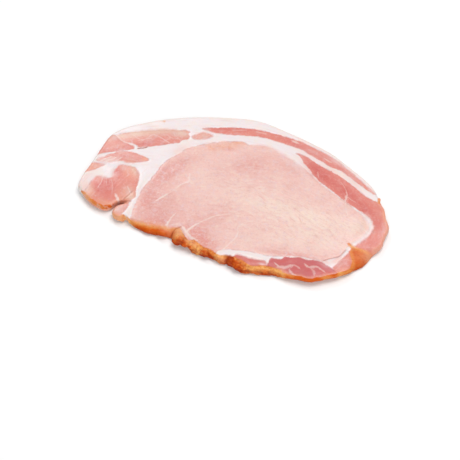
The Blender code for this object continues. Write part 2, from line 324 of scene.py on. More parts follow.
# Soft patches of tone on the cut face: x, y, reach in x, reach in y, turn, amount.
# Most names are of a tone. Outlines blur in "soft", and fibres show more in "streaky".
toneSpots = {
    # painted sheen: the paler, creamier middle of the eye
    "cream": [
        (44, -20, 14, 6, -4, 0.4), (35.8, -9.7, 18.9, 6.5, -9, 0.8), (65, -13.6, 7.8, 5.2, 0, 0.7),
        (53.7, -27.9, 7.8, 3.5, -5, 0.5), (15.5, -7.7, 12.1, 6.5, 0, 0.6),
        (30.6, -28.5, 18.2, 4.7, -3, 0.5), (-1.3, -2.2, 9.6, 5.3, 1, 0.35),
        (-17.2, 5.6, 5.5, 4.2, -5, 0.25), (44, -18, 20, 9, -4, 0.4),
    ],
    "pink": [
        (-44, -14.2, 10.8, 6.3, 79, 0.9), (-32.6, -12.3, 8.5, 9.9, 33, 0.6),
        (-39.2, 7.6, 11.6, 6.3, 57, 0.7), (5, 18.6, 13.9, 6.5, 24, 0.6),
        (26.7, 18.7, 8.8, 4.9, -30, 0.5), (-13.8, -33.4, 9.7, 5, -32, 1),
        (-35.6, -23.7, 7.9, 5.2, 0, 0.8), (34.3, -37, 15.3, 1.7, 2, 0.8),
        (-2.4, -17.5, 8.1, 6.5, 24, 0.4), (14.3, 10.9, 8, 4.4, 10, 0.2), (-15, -24, 10, 7, -20, 0.55),
        (-34, 8, 15, 4.5, 52, 0.7), (-37, -28, 8, 2.5, -5, 0.8),
    ],
    "rose": [
        (-33.9, 22.4, 5, 2.5, 35, 0.5), (-78.2, -11, 2.2, 3.2, 20, 0.7),
        (37.5, 18.6, 9.5, 1.8, -49, 0.75), (56.8, -38.6, 2, 1.2, 0, 0.3), (-8, -37, 6, 3, -30, 0.9),
        (58.8, -36.6, 3.6, 2, 50, 0.9), (52.9, -39.2, 2.2, 1.2, -30, 0.9),
        (-8.5, 27.8, 4.5, 1.4, 0, 0.5), (-13.1, -34.5, 6.1, 3.3, -38, 0.55),
        (-45.3, -17.8, 6.3, 2.4, 83, 0.6), (8.3, 18.4, 4.3, 2.6, 0, 0.5),
        (-38.4, -28.2, 3.7, 2, -1, 0.6), (37, -37.8, 7.7, 1, 0, 0.7),
    ],
    "warm": [
        (31, -48, 3.6, 1.5, -25, 0.9), (-76.3, -14, 3.6, 4.4, 30, 1), (-9.9, 29.6, 9.3, 2.3, 14, 0.8),
        (-16.2, 26.9, 2.8, 1.7, -20, 0.75), (-4, 33.2, 5.5, 1, 4, 0.8), (-38.5, -29.5, 9, 1.6, -5, 0.8),
        (-58.4, 3, 6.6, 3.3, -49, 0.6), (-53.1, -14.3, 2.6, 2.4, -23, 0.8),
        (-65.8, -19.9, 5.7, 1.9, -11, 0.8), (79.5, -5.2, 6.6, 1.2, -76, 0.6),
        (75.1, 4.2, 4, 1.5, -33, 0.4), (-50.9, 13.6, 2.2, 2.5, -31, 0.7),
        (-77.5, 2.6, 2.9, 2.5, 38, 0.6), (71.6, -12.4, 4.1, 2.3, -62, 0.5),
        (-61.6, -21.9, 4.3, 1.3, 0, 0.8), (-57.9, -14.4, 3.2, 3.2, 22, 0.5),
        (-58.6, -27.3, 3.4, 2.4, -33, 0.9),
    ],
    "butter": [
        (33.6, 30.8, 8, 1.7, -27, 0.55), (48.6, 22.2, 8.5, 1.7, -32, 0.8), (62, 14.3, 7, 1.7, -40, 0.8),
        (36, 39, 16, 1.5, -26, 0.7), (60, 24.6, 12, 1.4, -40, 0.7), (-79.4, -4, 3.6, 7, -15, 0.4),
        (61.6, -37.4, 4, 2, 50, 0.4),
    ],
    "beige": [
        (-68.3, 27.6, 4.7, 2, -9, 0.8), (-60.4, 29.8, 5.8, 2.6, 14, 0.8),
        (-48.4, 33.7, 10.5, 2.6, 12, 0.8), (68, -14, 2.6, 5, -20, 0.4),
        (-35.3, 34.6, 4.5, 2.5, -6, 0.85), (-69, 19.5, 5, 1.6, 30, 0.3),
        (-55.5, -10.5, 3.5, 4.5, 20, 0.5), (-23, 35, 4, 2.5, 0, 0.4), (-73, 23.8, 2.8, 2.5, -42, 0.4),
        (-55.6, 4.9, 6.1, 1.7, -57, 0.8), (-77.4, -12, 2.6, 4, 20, 0.7),
        (-52.6, -14.4, 2.4, 2.2, -30, 0.7),
    ],
    "deep": [
        (-51.2, 25.6, 8.2, 2, 20, 0.35), (-54.5, 23.2, 4.9, 1.6, 18, 0.6),
        (-74.1, 16.3, 5.4, 1.9, 17, 0.7), (-65.2, 18.5, 4.4, 1.6, 19, 0.6),
        (-62.3, 13.1, 5.6, 2.1, -5, 0.6), (-70.8, -9.7, 4.6, 3.3, 75, 1), (-73.2, -11.6, 3, 3, 0, 0.5),
        (-63.9, 2.8, 3.3, 2.5, -49, 0.9), (-66.5, -8.5, 3, 5.5, 8, 0.7),
        (-12.6, 42.1, 13.7, 1.8, 6, 0.5), (29.8, 35.8, 12.8, 2, -25, 0.5),
        (53, 23.6, 7.1, 1.5, -35, 0.3), (73.4, -23.2, 3.6, 3, 0, 0.3), (53, -46.4, 3.4, 1.8, -4, 0.7),
        (41.6, 19.7, 9.3, 4.2, -39, 0.9), (57.4, 8.3, 10.6, 3.7, -36, 0.8),
        (69.6, -3.4, 7.6, 3.2, -51, 0.8), (76.8, -12.9, 5.2, 2.5, -79, 0.4),
        (40.5, -44.9, 10.3, 2.8, -5, 0.55), (32.5, -41.8, 7.6, 1.1, 14, 0.45),
        (55.7, -44.9, 2.1, 1.4, -8, 0.5), (11.2, -43.4, 8, 1.3, -9, 0.6),
    ],
    "faded": [
        (-57.8, -22.6, 3, 2, 60, 0.8), (-68.4, -1.5, 4.3, 2, 19, 0.9), (-70.9, 9.5, 4.3, 1.1, 10, 0.8),
        (-72.4, 6.4, 2.2, 1.6, 28, 0.7), (30.7, 28.7, 5.5, 2.5, -31, 0.15),
        (80.2, -14, 1.8, 6, 0, 0.35), (76.5, 4.6, 1.6, 2.4, 20, 0.5), (50.5, 28, 5, 1.8, -35, 0.3),
        (34, 17.6, 9, 2, -45, 0.6), (26.5, 24, 5.5, 2.6, -35, 0.45), (71.3, 11.3, 3.3, 1.7, -45, 0.5),
        (58.4, 18, 6, 1.6, -38, 0.4), (-24, 39.4, 3.6, 1.3, 10, 0.7), (-60.6, 5.4, 2.6, 2, 0, 0.5),
        (-64.8, 17.3, 2.8, 1.4, 15, 0.6), (-70.7, 25.9, 2.5, 1.8, 0, 0.4), (-52.3, 26.5, 3, 2, 0, 0.3),
        (-38, 34, 4, 1.8, 0, 0.4), (52, 28, 7, 1.4, -33, 0.6), (60, 20.6, 6, 1.6, -38, 0.45),
        (36, 33.4, 8, 2.4, -24, 0.35), (75, 10, 3, 1.8, -45, 0.5), (58.4, -38.1, 3.2, 2.5, 45, 0.8),
        (71.8, -9.7, 5.3, 1.4, -73, 0.7), (69.3, -20.8, 4.3, 1.3, 59, 0.5),
        (52.8, -41.6, 4.2, 1.2, -27, 0.3), (-80, -12, 4, 5, 40, 0.7), (21.3, -45.6, 2, 1.5, 10, 0.6),
    ],
    # the dark rust-brown of the smoked rim, and painted shade under the curl at (-23.6, -39.8) and
    # (-27, -38.2)
    "rust": [
        (-54.4, -27, 0.8, 1.8, -20, 1), (-35.9, -35.1, 5.3, 1, -5, 0.8),
        (-47, -32.3, 5.6, 0.9, -11, 0.6), (-23.6, -39.8, 3.4, 1.5, 14, 1),
        (-27, -38.2, 2, 1.1, -64, 0.8), (-17.8, -42.5, 3.2, 1.2, -27, 0.7),
        (-7.4, -43.8, 5, 1.3, -20, 0.6), (-8, -45.6, 5.7, 1.2, -17, 0.35), (5, -44.6, 4, 2.2, -74, 1),
        (8.7, -50.2, 4.7, 1.8, -6, 0.7), (16.2, -52.1, 10.1, 0.8, 2, 0.5),
        (1.2, -47.7, 2.4, 1.2, -22, 0.6),
    ],
    "golden": [
        (-58, -27.4, 4.8, 2.4, -18, 1), (-52.2, -28, 1.4, 2, 0, 0.9), (-14.9, -39.6, 4.4, 1.5, -28, 1),
        (-12.2, -42.2, 1, 1.5, 10, 0.8), (-1, -44.2, 2.6, 1.5, -5, 1),
        (-31.8, -29.7, 3.3, 1.2, -27, 0.6), (-24, -34.2, 3.8, 2.2, 86, 1),
        (21.6, -48.1, 6.6, 1.2, 4, 0.8), (32.4, -48.8, 4.8, 0.9, -13, 1),
        (14.6, -48.6, 3.6, 1.2, -1, 0.4), (64.9, -27, 3.1, 0.8, 10, 0.9), (70.1, -28, 3.2, 1, -14, 0.4),
        (59.7, -44.2, 2, 1.1, 9, 0.9), (53.6, -48.4, 2.6, 0.8, 23, 0.5), (-77, -17, 5, 2.5, -45, 0.9),
        (-69.5, -22, 5, 1.6, -15, 0.5), (-44, -29.6, 6, 1, -8, 0.4), (-46.4, 42.1, 1.2, 1, 0, 1),
    ],
    "tongue": [
        (-58.2, -27.4, 4.6, 2.4, -18, 1), (-52.2, -28, 1.2, 2, 0, 0.7), (-23.4, -32.8, 2.7, 3.4, 14, 1),
        (75.9, 5.4, 2, 2.6, 0, 0.8), (74.2, -31.2, 3.2, 4.2, 30, 0.7), (68, -32, 5, 5, 0, 0.25),
        (-77, -16, 3, 3, -45, 0.6), (-30.6, -31.2, 3.4, 2, -10, 0.7),
        (-16.4, -37.8, 3.2, 1.4, -28, 0.6), (-46.4, 42, 1.5, 1.5, 0, 0.6),
        (0.2, -45.1, 2.2, 1.4, -10, 0.45), (64.6, -27, 1.8, 1.8, 0, 0.6),
    ],
    "soft": [
        (-50, 37, 16, 3, 13, 1), (75.5, -32, 3, 5, 20, 0.9), (22, 29, 7, 3, -35, 1),
        (14, 34, 9, 3, -10, 0.8), (-44, -29.5, 8, 2.5, -5, 0.6), (-33, -30, 6, 2.5, 0, 0.6),
        (60, 22, 14, 1.6, -38, 0.35), (38, 37, 12, 1.6, -26, 0.5), (-66, -1, 8, 5, 0, 0.6),
        (-73, -4, 5, 3, 30, 0.5), (-60, 9, 10, 3, 6, 0.4), (6, 33.5, 5, 2, 0, 0.5),
        (31, 22, 5, 2, -42, 0.6), (70.5, -13, 4, 8, 0, 0.9), (-22, 36, 8, 4, 10, 0.5),
        (12, -43, 8, 2, 0, 0.5), (-71, 9, 6, 3, 10, 0.8), (70, -21, 7, 4, 50, 0.6),
    ],
    "streaky": [
        (30, -14, 32, 14, -6, 1), (8, 4, 20, 10, -4, 0.5), (-70, 10, 9, 4, 10, 1),
    ],
}

# Patches where the smoke has coloured the cut face itself: one closed line each.
smokedPatches = {
    "frontRim": [
        (-51.6, -29), (-50.3, -28.6), (-45, -29), (-39.5, -30.2), (-33, -29.8), (-28.5, -30.4),
        (-24.4, -29.6), (-22.4, -31.6), (-20.4, -34.6), (-18, -36.2), (-15.4, -36), (-13, -37.6),
        (-10.4, -39.2), (-5.4, -41), (-1, -43.4), (2, -42.8), (5, -43.1), (8, -43.6),
        (11.3, -45), (16, -47.2), (21, -46.2), (27.5, -46.6), (33, -49.8), (37, -60),
        (-10, -60), (-56, -40),
    ],
    "cornerPatch": [
        (62.5, -25.3), (64.2, -25.3), (66, -26.5), (68.4, -27.3), (71.5, -27.6), (74.8, -28.8),
        (76.6, -31.3), (77.2, -35), (76.4, -38.6), (73.8, -43.4), (68.8, -48.5), (58.2, -52.3),
        (54.5, -49.2), (58.5, -46.9), (60.7, -44.8), (63.3, -42.9), (65.2, -40.6), (65.8, -37.6),
        (65, -34.4), (64.1, -31.2), (64.2, -28.6), (62.9, -26.6),
    ],
    "lobeRim": [
        (-63, -24.2), (-61, -25.3), (-58.4, -26.9), (-56.2, -27.4), (-54.8, -26.2), (-53.6, -26.4),
        (-52, -27.6), (-50.8, -34), (-66, -34),
    ],
    "fleck": [
        (-46.9, 41.6), (-46.1, 41.6), (-46, 42.3), (-46.8, 42.3),
    ],
    "endPoint": [
        (75.1, 3.4), (74.9, 6.4), (76.2, 8.6), (77.6, 5.6), (76.8, 3),
    ],
}


def dropSelection():
    if bpy.context.object and bpy.context.object.mode != "OBJECT":
        bpy.ops.object.mode_set(mode="OBJECT")
    bpy.ops.object.select_all(action="DESELECT")


def pickOnly(piece):
    dropSelection()
    bpy.context.view_layer.objects.active = piece
    piece.select_set(True)


def applyAll(piece):
    pickOnly(piece)
    for modifier in list(piece.modifiers):
        bpy.ops.object.modifier_apply(modifier=modifier.name)


def addSmooth(piece, rounds):
    soften = piece.modifiers.new("soften", "SMOOTH")
    soften.factor = rasher["smoothFactor"]
    soften.iterations = rounds
    return soften


def copySolid(node, name):
    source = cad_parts[node]
    piece = bpy.data.objects.new(name, source.data.copy())
    bpy.context.scene.collection.objects.link(piece)
    piece.data.materials.clear()
    pickOnly(piece)
    bpy.ops.object.mode_set(mode="EDIT")
    bpy.ops.mesh.select_all(action="SELECT")
    bpy.ops.mesh.remove_doubles(threshold=rasher["mergeGap"] * mm)
    bpy.ops.object.mode_set(mode="OBJECT")
    return piece


# A soft blob of the edge, later melted into the slice.
def addLump(place, halves, turn, tilt):
    dropSelection()
    shift = rasher["planShift"]
    spot = ((place[0] + shift[0]) * mm, (place[1] + shift[1]) * mm, place[2] * mm)
    bpy.ops.mesh.primitive_ico_sphere_add(subdivisions=3, radius=1.0, location=spot)
    lump = bpy.context.object
    lump.scale = [h * mm for h in halves]
    lump.rotation_euler = (math.radians(-tilt), 0, math.radians(turn))
    return lump


def buildSlice():
    piece = copySolid("rasher", "baconRasher")
    lumps = [addLump(*row) for row in edgeLumps]
    pickOnly(piece)
    for lump in lumps:
        lump.select_set(True)
    bpy.ops.object.join()
    melt = piece.modifiers.new("melt", "REMESH")
    melt.mode = "VOXEL"
    melt.voxel_size = rasher["voxel"] * mm
    addSmooth(piece, rasher["smoothing"])
    applyAll(piece)
    return piece


# A smooth curve through the points of a line.
def rounded(points, closed=True, parts=4):
    rows = np.array(points, float)
    count = len(rows)
    out = []
    for i in range(count if closed else count - 1):
        if closed:
            a, b, c, d = (rows[(i + k) % count] for k in (-1, 0, 1, 2))
        else:
            a, b, c, d = (rows[min(max(i + k, 0), count - 1)] for k in (-1, 0, 1, 2))
        for k in range(parts):
            t = k / parts
            out.append(0.5 * (2 * b + (c - a) * t + (2 * a - 5 * b + 4 * c - d) * t * t
                              + (3 * b - a - 3 * c + d) * t ** 3))
    if not closed:
        out.append(rows[-1])
    return np.array(out)


farAway = 1e9


# Distance in the plan to a line, and its side: positive inside a closed one.
def lineDistance(spots, line, closed=True):
    near = np.full(len(spots), farAway)
    side = np.ones(len(spots))
    inside = np.zeros(len(spots), bool)
    x, y = spots[:, 0], spots[:, 1]
    last = len(line) if closed else len(line) - 1
    for i in range(last):
        a, b = line[i], line[(i + 1) % len(line)]
        dx, dy = b - a
        t = np.clip(((x - a[0]) * dx + (y - a[1]) * dy) / max(dx * dx + dy * dy, 1e-9), 0, 1)
        gap = np.hypot(x - a[0] - t * dx, y - a[1] - t * dy)
        closer = gap < near
        near[closer] = gap[closer]
        if closed:
            if a[1] != b[1]:
                crosses = (a[1] > y) != (b[1] > y)
                inside ^= crosses & (x < (y - a[1]) * dx / dy + a[0])
        else:
            turn = np.sign(dx * (y - a[1]) - dy * (x - a[0]))
            side[closer] = np.where(turn[closer] == 0, 1, turn[closer])
    if closed:
        side = np.where(inside, 1.0, -1.0)
    return near, side


def spotsOf(piece):
    spots = np.empty(len(piece.data.vertices) * 3)
    piece.data.vertices.foreach_get("co", spots)
    return spots.reshape(-1, 3) / mm


def setSpots(piece, spots):
    piece.data.vertices.foreach_set("co", (spots * mm).ravel())


def planOf(spots):
    return spots[:, :2] - np.array(rasher["planShift"])


def normalsOf(piece):
    normals = np.empty(len(piece.data.vertices) * 3)
    piece.data.vertex_normals.foreach_get("vector", normals)
    return normals.reshape(-1, 3)


def ease(low, high, value):
    t = np.clip((value - low) / (high - low), 0, 1)
    return t * t * (3 - 2 * t)


# Noises of the relief: scale in x, y and z, and a seed.
roughness = {
    "longFibres": ((0.1, 1.1, 0), 3),
    "fineFibres": ((0.22, 2.2, 0), 9),
    "slack": ((0.09, 0.09, 0), 21),
    "sides": ((0.3, 0.3, 0.8), 31),
    "flakes": ((0.6, 0.8, 0.8), 5),
    "crumbs": ((0.7, 0.7, 0.7), 41),
}


def roughly(spots, kind):
    (sx, sy, sz), seed = roughness[kind]
    return np.array([noise.noise(Vector((p[0] * sx + seed, p[1] * sy, p[2] * sz)))
                     for p in spots])


def hills(plan, rows):
    total = np.zeros(len(plan))
    for x, y, reachX, reachY, turn, amount in rows:
        c, d = math.cos(math.radians(turn)), math.sin(math.radians(turn))
        u = ((plan[:, 0] - x) * c + (plan[:, 1] - y) * d) / reachX
        v = ((plan[:, 1] - y) * c - (plan[:, 0] - x) * d) / reachY
        total += amount * np.exp(-u * u - v * v)
    return np.clip(total, 0, 1)


def edgeDistance(spots, normals):
    rim = np.flatnonzero(np.abs(normals[:, 2]) < rasher["sideTilt"])
    tree = kdtree.KDTree(len(rim))
    for k, i in enumerate(rim):
        tree.insert((spots[i, 0], spots[i, 1], 0), k)
    tree.balance()
    return np.array([tree.find((p[0], p[1], 0))[2] for p in spots])


# The nearest of some open lines: distance, distance in half widths, strength.
def nearestLine(plan, rows):
    near = np.full(len(plan), farAway)
    across = np.full(len(plan), farAway)
    power = np.zeros(len(plan))
    for half, strength, line in rows:
        gap, side = lineDistance(plan, rounded(line, False, 3), False)
        closer = gap < near
        near[closer] = gap[closer]
        across[closer] = (gap * side / half)[closer]
        power[closer] = strength
    return near, across, power


# The browned rim. A pair runs from nothing to full, in x or y of the plan.
brownedRim = {
    "frontBack": (-17, -23),
    "frontLeft": (-54.5, -50.5),
    "frontRight": (77, 73),
    "tailBack": (-12, -15),
    "tailRight": (-60, -63),
    "reach": 0.35,          # how far the smoke comes in over the face
    "swell": 0.5,           # and how much farther near the middle
    "swellAt": 5,
    "swellSpread": 22,
    "flakyLeft": (-30, -22),
    "flakyRight": (36, 28),
    "flakyEnd": (56, 62),
    "flakyEndShare": 0.12,
}

# Fibres that follow the back are arcs round a centre; those that sweep bend downwards.
bandFibres = {"centre": (-4, -24), "length": 70, "squash": 0.85}
sweptFibres = {"slope": 0.05, "bend": 0.0062}


# Places along and across the fibres.
def alongFibres(plan, grain):
    x, y = plan[:, 0], plan[:, 1]
    if grain == "band":
        x = x - bandFibres["centre"][0]
        y = y - bandFibres["centre"][1]
        return np.arctan2(y, x) * bandFibres["length"], np.hypot(x * bandFibres["squash"], y)
    if grain == "sweep":
        return x, y - sweptFibres["slope"] * x + sweptFibres["bend"] * np.maximum(x, 0) ** 2
    c, s = math.cos(math.radians(grain)), math.sin(math.radians(grain))
    return x * c + y * s, y * c - x * s


def rimFields(spots, plan, normals):
    x, y = plan[:, 0], plan[:, 1]
    edge = edgeDistance(spots, normals)
    front = ease(*brownedRim["frontBack"], y)
    front = front * ease(*brownedRim["frontLeft"], x) * ease(*brownedRim["frontRight"], x)
    tail = ease(*brownedRim["tailBack"], y) * ease(*brownedRim["tailRight"], x)
    swell = np.exp(-((x - brownedRim["swellAt"]) / brownedRim["swellSpread"]) ** 2)
    reach = brownedRim["reach"] + brownedRim["swell"] * swell
    crumbs = 0.75 + 0.9 * roughly(spots, "crumbs")
    tailRim = tail * ease(1.4, 0.3, edge) * ease(1.6, 2.8, spots[:, 2]) * crumbs
    flaky = ease(*brownedRim["flakyLeft"], x) * ease(*brownedRim["flakyRight"], x)
    flakyEnd = brownedRim["flakyEndShare"] * ease(*brownedRim["flakyEnd"], x)
    cells = np.array([noise.voronoi(Vector(p * (0.30, 0.42, 0.5)))[0][0] for p in spots])
    return {
        "smoke": np.maximum(front * ease(reach * 2, reach * 0.3, edge), tailRim),
        "crag": 0.55 - cells + 0.9 * roughly(spots, "flakes"),
        "flaky": np.maximum(flaky, flakyEnd),
        "rind": ease(6, 16, y - 0.1 * x) * ease(2.2, 0.2, edge),
        "edge": edge,
        "front": front,
    }


# Reads the plan of the cut face into values at every point of the mesh.
def readPlan(spots, normals):
    plan = planOf(spots)
    lean = np.full(len(plan), -farAway)
    depth = np.zeros(len(plan))
    fibre = np.zeros((len(plan), 3))
    for muscle in muscles.values():
        gap, side = lineDistance(plan, rounded(muscle["line"]))
        best = gap * side > lean
        lean[best] = (gap * side)[best]
        depth[best] = muscle["depth"]
        fibre[best, 0], fibre[best, 1] = alongFibres(plan[best], muscle["grain"])
    fibre[:, 2] = spots[:, 2]
    patch = np.full(len(plan), -farAway)
    for line in smokedPatches.values():
        gap, side = lineDistance(plan, rounded(line))
        patch = np.maximum(patch, gap * side)
    fields = {"lean": lean, "depth": depth, "fibre": fibre, "patch": patch}
    fields["veinNear"], fields["veinAcross"], fields["veinPower"] = nearestLine(plan, veins)
    near, across, power = nearestLine(plan, creases)
    fields["crease"] = power * ease(1.7, 0.3, np.abs(across)) * ease(1.6, 0.8, near)
    for name, rows in toneSpots.items():
        fields[name] = hills(plan, rows)
    fields.update(rimFields(spots, plan, normals))
    return fields


def reliefOf(spots, normals, fields):
    flat = ease(0.5, 0.9, np.abs(normals[:, 2])) * ease(0.3, 1.4, fields["edge"])
    lean = ease(-0.3, 0.3, fields["lean"])
    relief = rasher["fatProud"] * (1 - lean)
    relief -= rasher["seamDip"] * np.exp(-(fields["lean"] / 0.55) ** 2)
    vein = ease(1.6, 0.4, np.abs(fields["veinAcross"])) * ease(1.6, 0.8, fields["veinNear"])
    relief += rasher["veinProud"] * vein * lean
    fibre = roughly(fields["fibre"], "longFibres") + 0.6 * roughly(fields["fibre"], "fineFibres")
    relief += rasher["fibreRelief"] * fibre * lean
    relief += rasher["slackRelief"] * roughly(spots, "slack")
    relief *= flat
    crust = fields["front"] * np.maximum(ease(1.6, 0.4, fields["edge"]),
                                         ease(-0.4, 0.6, fields["patch"]))
    relief += crust * rasher["cragRelief"] * fields["crag"] * (0.2 + 0.8 * fields["flaky"])
    relief -= rasher["creaseDepth"] * fields["crease"]
    side = ease(0.75, 0.3, np.abs(normals[:, 2])) * (1 - fields["front"])
    relief += side * rasher["sideRelief"] * roughly(spots, "sides")
    return relief


# Fills up and smooths the cut face, inside its rim.
def calmFace(piece):
    spots, normals = spotsOf(piece), normalsOf(piece)
    calm = ease(*rasher["calmTilt"], normals[:, 2])
    calm = calm * ease(*rasher["calmFrom"], edgeDistance(spots, normals))
    spots[:, 2] += calm * hills(planOf(spots), fillings)
    setSpots(piece, spots)
    face = piece.vertex_groups.new(name="cutFace")
    for i in np.flatnonzero(calm > 0.01):
        face.add([int(i)], float(calm[i]), "REPLACE")
    addSmooth(piece, rasher["calming"]).vertex_group = face.name
    applyAll(piece)
    piece.vertex_groups.clear()


def keepField(mesh, name, values):
    if values.ndim == 2:
        kept = mesh.attributes.new(name, "FLOAT_VECTOR", "POINT")
        kept.data.foreach_set("vector", values.astype(np.float32).ravel())
    else:
        kept = mesh.attributes.new(name, "FLOAT", "POINT")
        kept.data.foreach_set("value", values.astype(np.float32))


# Splits the faces of the browned rim, where the relief is finest.
def refineRim(piece):
    spots, normals = spotsOf(piece), normalsOf(piece)
    near = edgeDistance(spots, normals) < rasher["finerReach"]
    near &= (spots[:, 1] < rasher["finerFront"]) & (normals[:, 2] > rasher["finerTilt"])
    for face in piece.data.polygons:
        face.select = all(near[i] for i in face.vertices)
    for edge in piece.data.edges:
        edge.select = False
    pickOnly(piece)
    bpy.ops.object.mode_set(mode="EDIT")
    bpy.ops.mesh.select_mode(type="FACE")
    bpy.ops.mesh.subdivide(number_cuts=1)
    bpy.ops.object.mode_set(mode="OBJECT")


def pulled(spots):
    moved = spots.copy()
    for x, y, reachX, reachY, moveX, moveY, top in pulls:
        pull = hills(planOf(spots), [(x, y, reachX, reachY, 0, 1)])
        pull *= ease(top + 1, top - 1.5, spots[:, 2])
        moved[:, 0] += pull * moveX
        moved[:, 1] += pull * moveY
    return moved


def dressSlice(piece):
    calmFace(piece)
    refineRim(piece)
    spots, normals = pulled(spotsOf(piece)), normalsOf(piece)
    fields = readPlan(spots, normals)
    spots = spots + normals * reliefOf(spots, normals, fields)[:, None]
    spots[:, 2] = np.maximum(spots[:, 2], 0)
    setSpots(piece, spots)
    for name in ("lean", "depth", "fibre", "veinNear", "veinAcross", "veinPower", "crease",
                 "smoke", "patch", "crag", "flaky", "rind", "edge", *toneSpots):
        keepField(piece.data, name, fields[name])
    piece.data.update()
    pickOnly(piece)
    bpy.ops.object.shade_smooth()


baconRasher = buildSlice()
print("slice built:", len(baconRasher.data.polygons), "faces")
dressSlice(baconRasher)
print("slice dressed")

# Colours as they are seen, red, green and blue from 0 to 255.
meatColours = {
    "eyePale": (248, 204, 195),
    "eyePink": (235, 170, 162),
    "eyeRose": (236, 160, 150),
    # the cream of the eye's mottle, and also the colour of the painted sheen on the eye
    "eyeCreamAndSheen": (252, 226, 211),
    "lavender": (240, 208, 214),
    "muscle": (234, 143, 130),
    "core": (218, 104, 97),
    "belly": (212, 112, 114),
    "peach": (247, 176, 144),
    "beige": (240, 208, 188),
    "fat": (249, 237, 238),
    "fatWarm": (250, 236, 231),
    "fatRose": (244, 214, 212),
    "vein": (250, 228, 220),
    # the smoke gold also paints a highlight on raised flakes, and the smoke brown paints shade in
    # hollows and low on the rim
    "smokeGoldAndHighlight": (255, 188, 110),
    "smokeOrange": (228, 100, 16),
    "smokeBrownAndShade": (174, 58, 6),
    "tongue": (246, 174, 136),
    "crease": (176, 72, 30),
    "butter": (249, 216, 206),
    "rind": (250, 232, 223),
    "glint": (252, 228, 216),
    "shadeStreak": (212, 144, 134),
    "seam": (222, 168, 164),
}


# The meat's own colour, as a share of the one that is seen in the studio's light.
studioGain = 0.82


def toLight(colour):
    row = []
    for value in colour:
        v = value / 255
        v = v / 12.92 if v <= 0.04045 else ((v + 0.055) / 1.055) ** 2.4
        row.append(v * studioGain)
    return (*row, 1)


def feed(tree, socket, value):
    if isinstance(value, bpy.types.NodeSocket):
        tree.links.new(value, socket)
    else:
        socket.default_value = value


def put(tree, kind, values=None, **settings):
    made = tree.nodes.new(kind)
    for name, value in settings.items():
        setattr(made, name, value)
    for name, value in (values or {}).items():
        feed(tree, made.inputs[name], value)
    return made


def calc(tree, operation, *values):
    return put(tree, "ShaderNodeMath", dict(enumerate(values)), operation=operation).outputs[0]


def plus(tree, first, second):
    return calc(tree, "ADD", first, second)


def times(tree, first, second):
    return calc(tree, "MULTIPLY", first, second)


def summed(tree, values):
    total = values[0]
    for value in values[1:]:
        total = plus(tree, total, value)
    return total


# first times factor, and more on top.
def timesPlus(tree, first, factor, more):
    return calc(tree, "MULTIPLY_ADD", first, factor, more)


def stepUp(tree, value, low, high, bottom=0.0, top=1.0):
    limits = {"Value": value, "From Min": low, "From Max": high, "To Min": bottom, "To Max": top}
    return put(tree, "ShaderNodeMapRange", limits, interpolation_type="SMOOTHSTEP").outputs["Result"]


def mixed(tree, factor, first, second):
    return put(tree, "ShaderNodeMix", {0: factor, 6: first, 7: second}, data_type="RGBA").outputs[2]


# Lays tones over a colour, one after the other, each through its own mask.
def layered(tree, base, colours, layers):
    for mask, tone in layers:
        base = mixed(tree, mask, base, colours[tone])
    return base


def spotty(tree, vector, scale, detail=2.0, rough=0.5):
    values = {"Vector": vector, "Scale": scale, "Detail": detail, "Roughness": rough}
    return put(tree, "ShaderNodeTexNoise", values).outputs["Fac"]


def stretched(tree, vector, scale):
    return put(tree, "ShaderNodeVectorMath", {0: vector, 1: scale}, operation="MULTIPLY").outputs[0]


# A noise centred on zero, for what is added or taken.
def wander(tree, vector, scale, detail, rough, reach):
    return times(tree, calc(tree, "SUBTRACT", spotty(tree, vector, scale, detail, rough), 0.5), reach)


# A node group, its sockets given as the words of each kind.
def newGroup(name, inputs, outputs):
    group = bpy.data.node_groups.new(name, "ShaderNodeTree")
    for side, sockets in (("INPUT", inputs), ("OUTPUT", outputs)):
        for kind, labels in sockets.items():
            for label in labels.split():
                group.interface.new_socket(label, in_out=side, socket_type="NodeSocket" + kind)
    start = group.nodes.new("NodeGroupInput")
    end = group.nodes.new("NodeGroupOutput")
    return group, start.outputs, end.inputs


def deliver(group, result, values):
    for name, value in values.items():
        group.links.new(value, result[name])


def useGroup(tree, group, values):
    return put(tree, "ShaderNodeGroup", values, node_tree=group).outputs


# Streaks along the fibres, long soft ones and short fine ones, and grit across them.
def fibreGroup():
    group, given, result = newGroup("meatFibres", {"Vector": "Fibre Place"},
                                    {"Float": "Long Fine Grit Mottle"})
    place = given["Place"]
    sway = put(group, "ShaderNodeTexNoise", {"Vector": place, "Scale": 0.07, "Detail": 2.0})
    swayed = put(group, "ShaderNodeVectorMath",
                 {0: sway.outputs["Color"], 1: (9.0, 9.0, 0.0), 2: given["Fibre"]},
                 operation="MULTIPLY_ADD").outputs[0]
    deliver(group, result, {
        "Long": spotty(group, stretched(group, swayed, (0.07, 0.42, 0.25)), 1.0, 4.0, 0.62),
        "Fine": spotty(group, stretched(group, swayed, (0.24, 0.8, 0.5)), 1.0, 3.0, 0.62),
        "Grit": spotty(group, place, 1.0, 4.0, 0.75),
        "Mottle": spotty(group, place, 0.16, 5.0, 0.68),
    })
    return group


# Turns a distance into a mask with a ragged rim, its fingers along the fibres.
def raggedGroup():
    group, given, result = newGroup(
        "raggedEdge", {"Vector": "Place Fibre", "Float": "Distance Ragged Fingers Soft"},
        {"Float": "Mask"})
    place, soft = given["Place"], given["Soft"]
    wobble = plus(group, wander(group, place, 0.3, 2.0, 0.5, 1.4),
                  wander(group, place, 1.1, 3.0, 0.6, 1.0))
    moved = timesPlus(group, wobble, given["Ragged"], given["Distance"])
    along = stretched(group, given["Fibre"], (0.12, 0.8, 0.3))
    fingers = wander(group, along, 1.0, 3.0, 0.6, 3.2)
    moved = timesPlus(group, fingers, given["Fingers"], moved)
    deliver(group, result, {"Mask": stepUp(group, moved, times(group, soft, -1.0), soft)})
    return group
